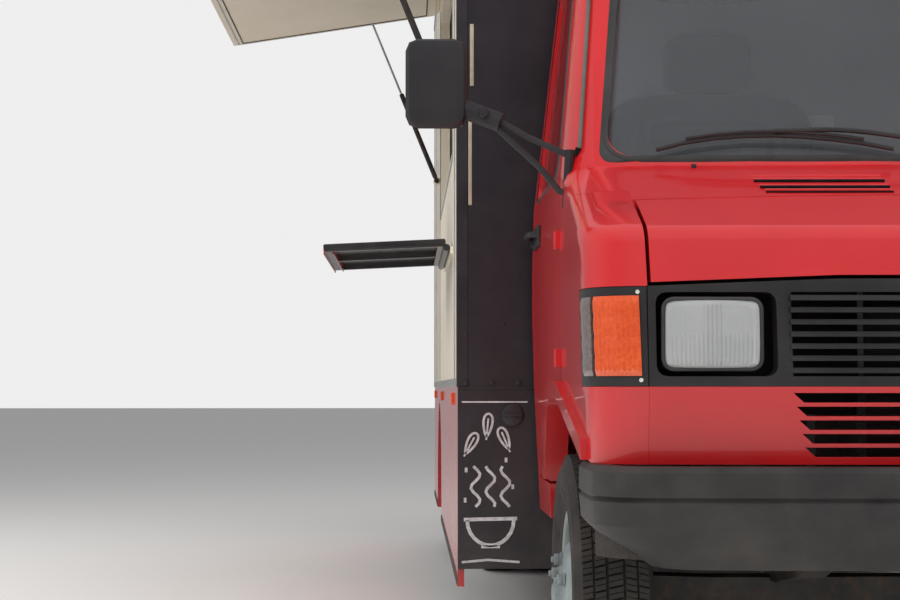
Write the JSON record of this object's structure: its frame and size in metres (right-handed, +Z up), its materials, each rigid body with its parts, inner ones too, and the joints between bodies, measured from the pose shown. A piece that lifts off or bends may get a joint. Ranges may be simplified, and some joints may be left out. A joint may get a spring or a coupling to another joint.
{
  "type": "food truck",
  "caption": "Light truck with a short sloping bonnet, a box body with a raised serving flap, a folding counter and twin rear wheels",
  "frame": {"origin": "on the ground, under the middle of the truck's box with the flap raised", "axes": "+Z up, -Y forward, -X the truck's right side with the serving hatch"},
  "size_m": [3.4878, 6.02, 2.9],
  "materials": {
    "red_paint": "gloss",
    "black_plastic": "moulded, satin",
    "black_panel": "satin",
    "cream_panel": "gel coat",
    "chassis_steel": "matt black",
    "wheel_steel": "silver paint",
    "tyre": "matt",
    "glass": "clear",
    "amber_lens": "clear",
    "lamp_glass": "fluted",
    "seat_cloth": "woven",
    "dash_plastic": "grained",
    "zinc_steel": "brushed"
  },
  "bodies": {
    "chassis": {"chassis_frame": "chassis_steel", "front_axle": "chassis_steel", "rear_axle": "chassis_steel", "engine_block": "chassis_steel", "radiator": "zinc_steel", "fuel_tank": "chassis_steel", "exhaust": "chassis_steel", "cab_body": "red_paint", "cab_floor": "dash_plastic", "fender_right": "red_paint", "fender_left": "red_paint", "front_valance": "red_paint", "grille_panel": "black_plastic", "headlamp_right": "lamp_glass", "headlamp_left": "lamp_glass", "indicator_right": "amber_lens", "indicator_left": "amber_lens", "front_bumper": "black_plastic", "windscreen": "glass", "dashboard": "dash_plastic", "steering_wheel": "dash_plastic", "seats": "seat_cloth", "mirror_right": "black_plastic", "mirror_left": "black_plastic", "box_floor": "chassis_steel", "box_front_wall": "black_panel", "box_left_wall": "cream_panel", "box_right_wall": "cream_panel", "box_rear_wall": "cream_panel", "box_roof": "cream_panel", "skirt_right": "red_paint", "skirt_left": "red_paint", "front_skirt": "black_panel", "kitchen_counters": "zinc_steel", "rear_bumper": "black_plastic"},
    "knuckle_right": {"knuckle_right": "chassis_steel"},
    "knuckle_left": {"knuckle_left": "chassis_steel"},
    "front_wheel_right": {"front_rim_right": "wheel_steel", "front_tyre_right": "tyre"},
    "front_wheel_left": {"front_rim_left": "wheel_steel", "front_tyre_left": "tyre"},
    "rear_wheel_right": {"rear_rims_right": "wheel_steel", "rear_tyre_outer_right": "tyre", "rear_tyre_inner_right": "tyre"},
    "rear_wheel_left": {"rear_rims_left": "wheel_steel", "rear_tyre_outer_left": "tyre", "rear_tyre_inner_left": "tyre"},
    "door_right": {"door_right": "red_paint", "door_glass_right": "glass"},
    "door_left": {"door_left": "red_paint", "door_glass_left": "glass"},
    "bonnet": {"bonnet": "red_paint"},
    "hatch_flap": {"hatch_flap": "cream_panel"},
    "strut_barrels": {"strut_barrel_front": "chassis_steel", "strut_barrel_rear": "chassis_steel"},
    "strut_rods": {"strut_rod_front": "zinc_steel", "strut_rod_rear": "zinc_steel"},
    "counter_shelf": {"counter_shelf": "black_panel"},
    "rear_door": {"rear_door": "cream_panel"}
  },
  "joints": [
    {"name": "steer_right", "type": "hinge", "parent": "chassis", "child": "knuckle_right", "pos_m": [-0.38311, -2.14, 0.34701], "axis": [0, 0, 1], "range_deg": [-35, 35]},
    {"name": "steer_left", "type": "hinge", "parent": "chassis", "child": "knuckle_left", "pos_m": [1.17689, -2.14, 0.34701], "axis": [0, 0, 1], "range_deg": [-35, 35]},
    {"name": "front_wheel_right_spin", "type": "hinge", "parent": "knuckle_right", "child": "front_wheel_right", "pos_m": [-0.46811, -2.14, 0.34701], "axis": [1, 0, 0], "continuous": true},
    {"name": "front_wheel_left_spin", "type": "hinge", "parent": "knuckle_left", "child": "front_wheel_left", "pos_m": [1.26189, -2.14, 0.34701], "axis": [1, 0, 0], "continuous": true},
    {"name": "rear_wheel_right_spin", "type": "hinge", "parent": "chassis", "child": "rear_wheel_right", "pos_m": [-0.40311, 1.56, 0.34701], "axis": [1, 0, 0], "continuous": true},
    {"name": "rear_wheel_left_spin", "type": "hinge", "parent": "chassis", "child": "rear_wheel_left", "pos_m": [1.19689, 1.56, 0.34701], "axis": [1, 0, 0], "continuous": true},
    {"name": "door_right_swing", "type": "hinge", "parent": "chassis", "child": "door_right", "pos_m": [-0.57711, -2.206, 1.2], "axis": [0, 0, 1], "range_deg": [0, 68]},
    {"name": "door_left_swing", "type": "hinge", "parent": "chassis", "child": "door_left", "pos_m": [1.37089, -2.206, 1.2], "axis": [0, 0, -1], "range_deg": [0, 68]},
    {"name": "bonnet_lift", "type": "hinge", "parent": "chassis", "child": "bonnet", "pos_m": [0.39689, -2.642, 1.2815], "axis": [-1, 0, 0], "range_deg": [0, 55]},
    {"name": "flap_close", "type": "hinge", "parent": "chassis", "child": "hatch_flap", "pos_m": [-0.81311, 0.24, 2.575], "axis": [0, -1, 0], "range_deg": [0, 81]},
    {"name": "strut_swing", "type": "hinge", "parent": "chassis", "child": "strut_barrels", "pos_m": [-0.81311, 0.24, 1.8], "axis": [0, 1, 0], "range_deg": [0, 22.2]},
    {"name": "strut_slide", "type": "slide", "parent": "strut_barrels", "child": "strut_rods", "axis": [0.377, 0, -0.9262], "range_m": [0, 0.3112]},
    {"name": "shelf_fold", "type": "hinge", "parent": "chassis", "child": "counter_shelf", "pos_m": [-0.81311, -0.26, 1.33], "axis": [0, -1, 0], "range_deg": [0, 85]},
    {"name": "rear_door_swing", "type": "hinge", "parent": "chassis", "child": "rear_door", "pos_m": [0.81689, 2.922, 1.825], "axis": [0, 0, -1], "range_deg": [0, 110]}
  ],
  "couplings": [
    {"joint": "steer_left", "follows": "steer_right", "ratio": 1},
    {"joint": "strut_swing", "follows": "flap_close", "ratio": 0.2734},
    {"joint": "strut_slide", "follows": "flap_close", "m_per_rad": 0.22}
  ]
}
